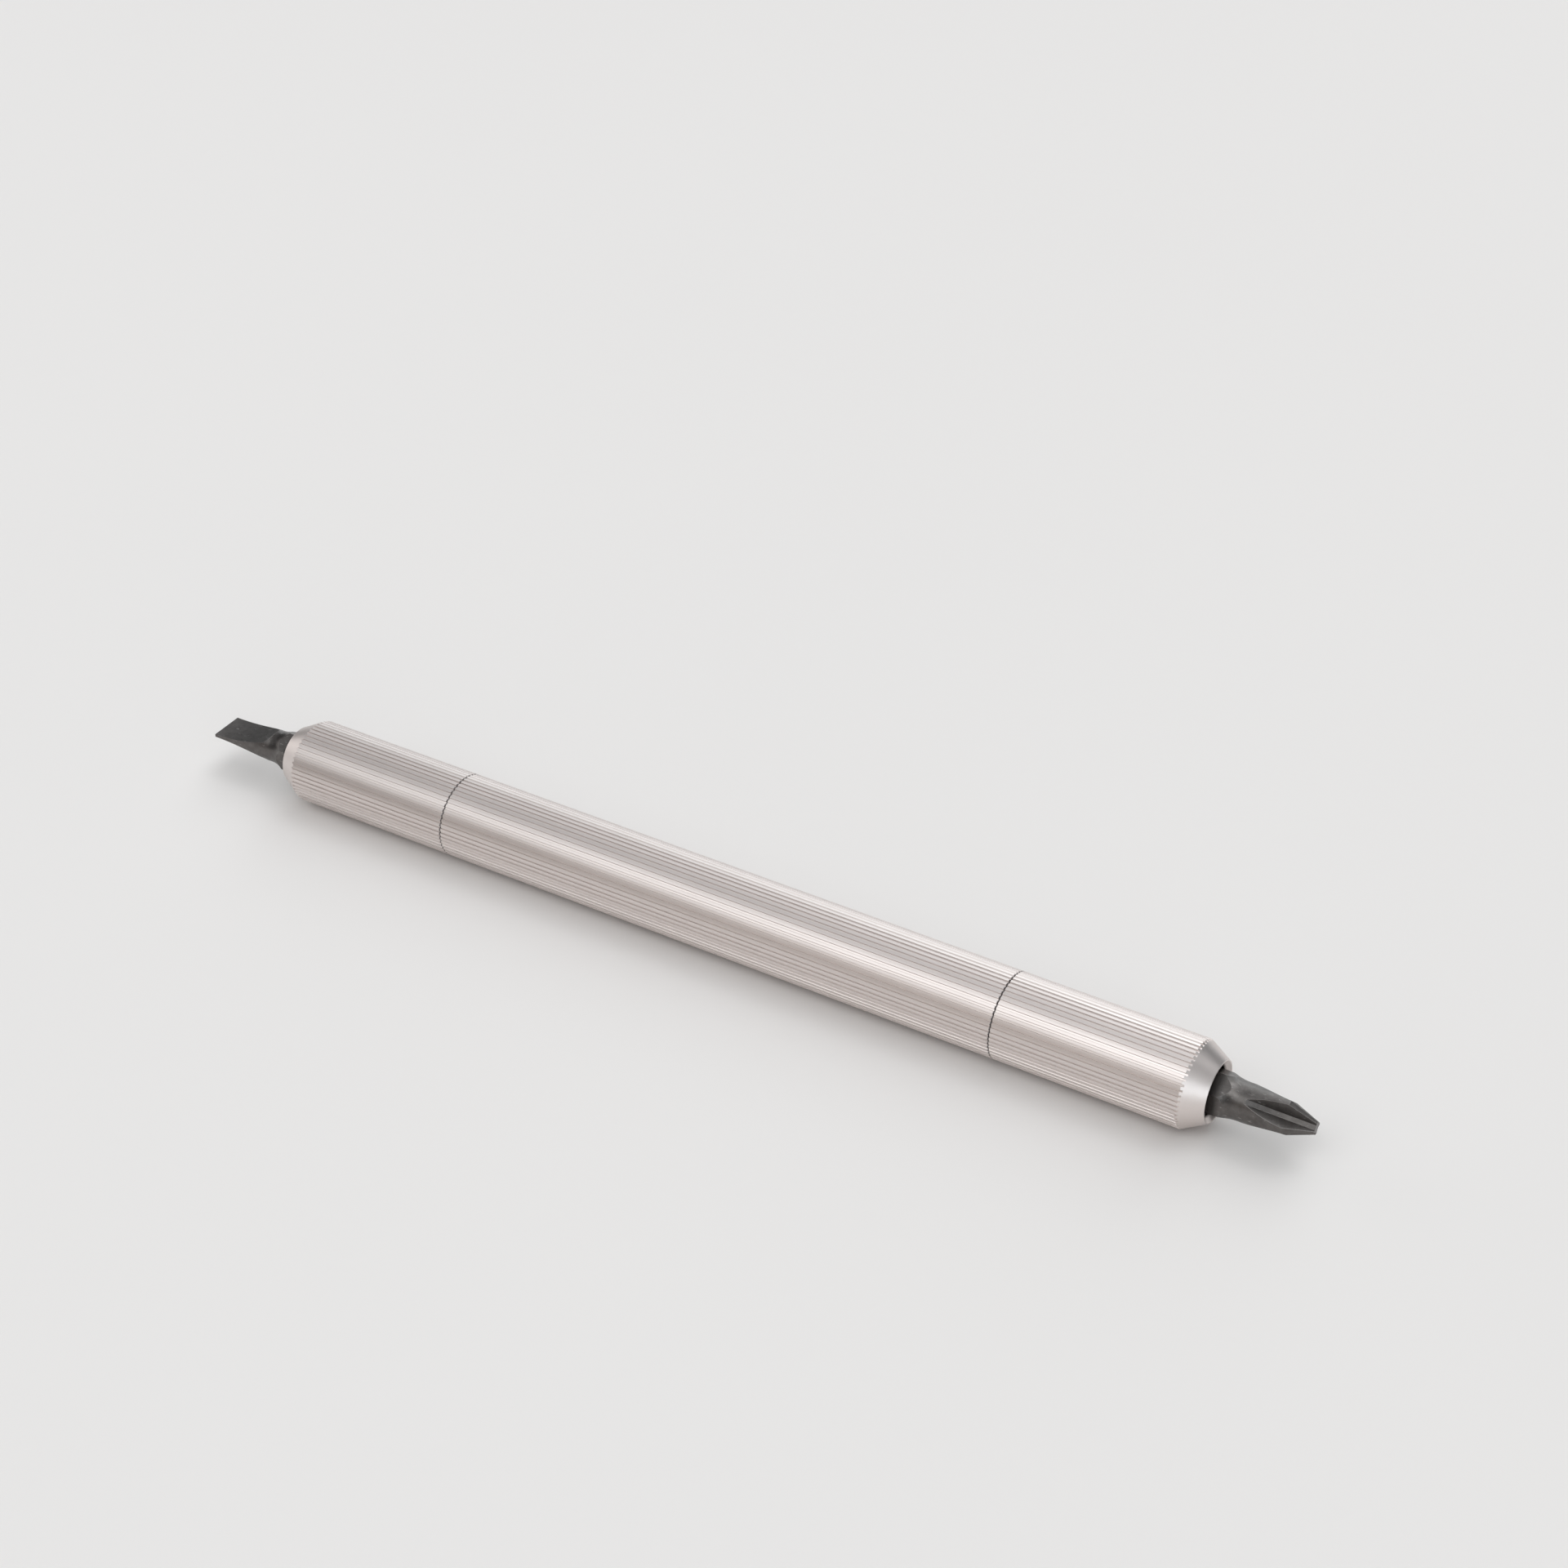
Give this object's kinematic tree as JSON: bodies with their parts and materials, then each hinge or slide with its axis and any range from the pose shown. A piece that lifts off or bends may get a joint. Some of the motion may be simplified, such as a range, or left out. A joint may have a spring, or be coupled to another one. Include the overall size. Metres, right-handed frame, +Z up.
{
  "type": "pocket screwdriver",
  "caption": "Pen-shaped double-ended screwdriver: fluted aluminium barrel with plug-in heads whose magnetic hexagon sockets hold a Phillips bit and a slotted bit.",
  "frame": {"origin": "middle of the whole length, on the surface that the driver lies on", "axes": "+X along the driver from the slotted bit to the Phillips bit, +Z up, +Y across it"},
  "size_m": [0.2002, 0.014, 0.014],
  "materials": {
    "body_aluminium": "satin, blasted and clear anodised",
    "socket_steel": "turned and broached",
    "spigot_steel": "turned",
    "magnet_nickel": "nickel plated",
    "ring_rubber": "matt",
    "bit_oxide": "black oxide, lightly worn on the edges"
  },
  "bodies": {
    "barrel": {"barrel": "body_aluminium"},
    "front_head": {"front_head": "body_aluminium", "front_socket": "socket_steel", "front_magnet": "magnet_nickel", "front_spigot": "spigot_steel", "front_o_ring": "ring_rubber"},
    "phillips_bit": {"phillips_bit": "bit_oxide"},
    "rear_head": {"rear_head": "body_aluminium", "rear_socket": "socket_steel", "rear_magnet": "magnet_nickel", "rear_spigot": "spigot_steel", "rear_o_ring": "ring_rubber"},
    "slotted_bit": {"slotted_bit": "bit_oxide"}
  },
  "joints": [
    {"name": "front_head_pull", "type": "slide", "parent": "barrel", "child": "front_head", "axis": [1, 0, 0], "range_m": [0, 0.014]},
    {"name": "phillips_bit_pull", "type": "slide", "parent": "front_head", "child": "phillips_bit", "axis": [1, 0, 0], "range_m": [0, 0.012]},
    {"name": "rear_head_pull", "type": "slide", "parent": "barrel", "child": "rear_head", "axis": [-1, 0, 0], "range_m": [0, 0.014]},
    {"name": "slotted_bit_pull", "type": "slide", "parent": "rear_head", "child": "slotted_bit", "axis": [-1, 0, 0], "range_m": [0, 0.012]}
  ]
}
